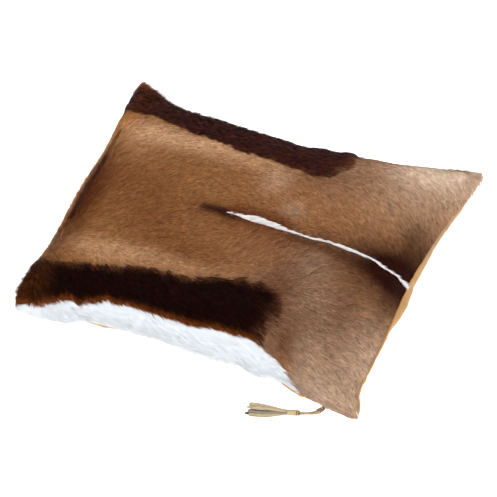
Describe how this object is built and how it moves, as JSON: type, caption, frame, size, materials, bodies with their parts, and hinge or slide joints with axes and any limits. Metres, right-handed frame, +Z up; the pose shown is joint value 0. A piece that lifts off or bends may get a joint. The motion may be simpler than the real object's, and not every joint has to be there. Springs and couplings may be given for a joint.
{
  "type": "springbok hide cushion",
  "caption": "Filled oblong cushion with a hair-on springbok hide face, a suede back and a zip with a leather tassel, lying on its back.",
  "frame": {"origin": "middle of the flat patch of the suede back that the cushion rests on", "axes": "+X along the long sides, towards the zip's tassel end; +Y across, from the zip side to the other long side; +Z up out of the hide face"},
  "size_m": [0.5906, 0.4246, 0.1152],
  "materials": {
    "hide": "short lying springbok hair on tanned skin: cinnamon, with two near-black flank bands, a white belly strip and a white dorsal crest",
    "suede_back": "golden tan suede, matt, with a fine nap",
    "strap_leather": "pale beige split leather, matt, cut edges",
    "zip_metal": "dark antique copper, worn brighter on the edges"
  },
  "bodies": {
    "root": {"cushion_body": "suede_back", "hide_front": "hide", "zip_slider": "zip_metal", "zip_pull": "zip_metal", "tassel_thong": "strap_leather", "tassel": "strap_leather"}
  },
  "joints": []
}
